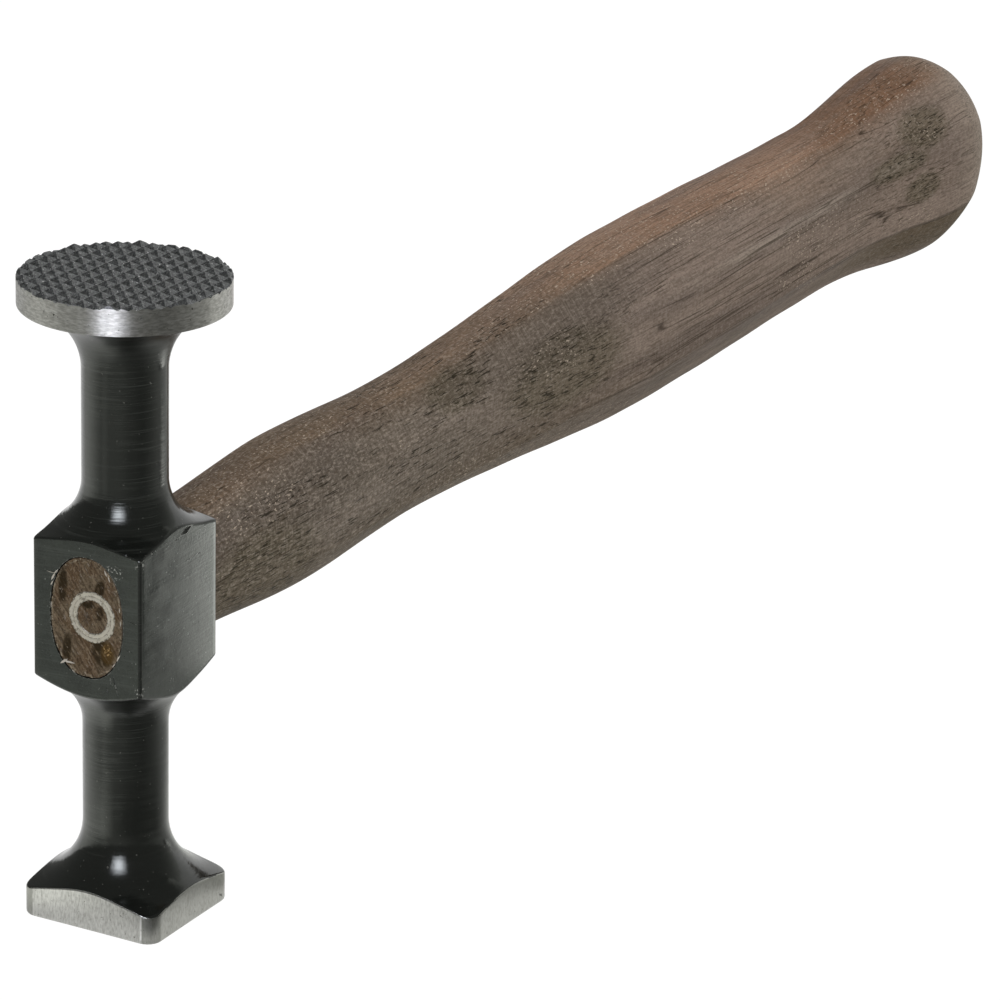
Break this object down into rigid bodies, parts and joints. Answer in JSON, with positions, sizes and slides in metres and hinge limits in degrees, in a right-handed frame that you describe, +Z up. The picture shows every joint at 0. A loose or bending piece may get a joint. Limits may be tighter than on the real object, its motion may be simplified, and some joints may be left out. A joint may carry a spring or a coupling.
{
  "type": "auto body hammer",
  "caption": "Panel beating hammer: forged steel head with a round serrated face and a square flat face, on a shaped stained wood handle wedged into the eye by a steel ring.",
  "frame": {"origin": "centre of the square flat face, on that face", "axes": "+Z up through the head to the round serrated face, +X along the handle from the head towards the butt, Y across the head"},
  "size_m": [0.3496, 0.036, 0.1144],
  "materials": {
    "black_lacquer": "thin gloss black lacquer over turned forged steel; the round face and its rim and the sides of the square end are left bare ground steel",
    "stained_hickory": "dark brown stained hickory, satin, open pores along the grain",
    "ring_steel": "bare steel, scuffed by driving in"
  },
  "bodies": {
    "root": {"hammer_head": "black_lacquer", "handle": "stained_hickory", "ring_wedge": "ring_steel"}
  },
  "joints": []
}
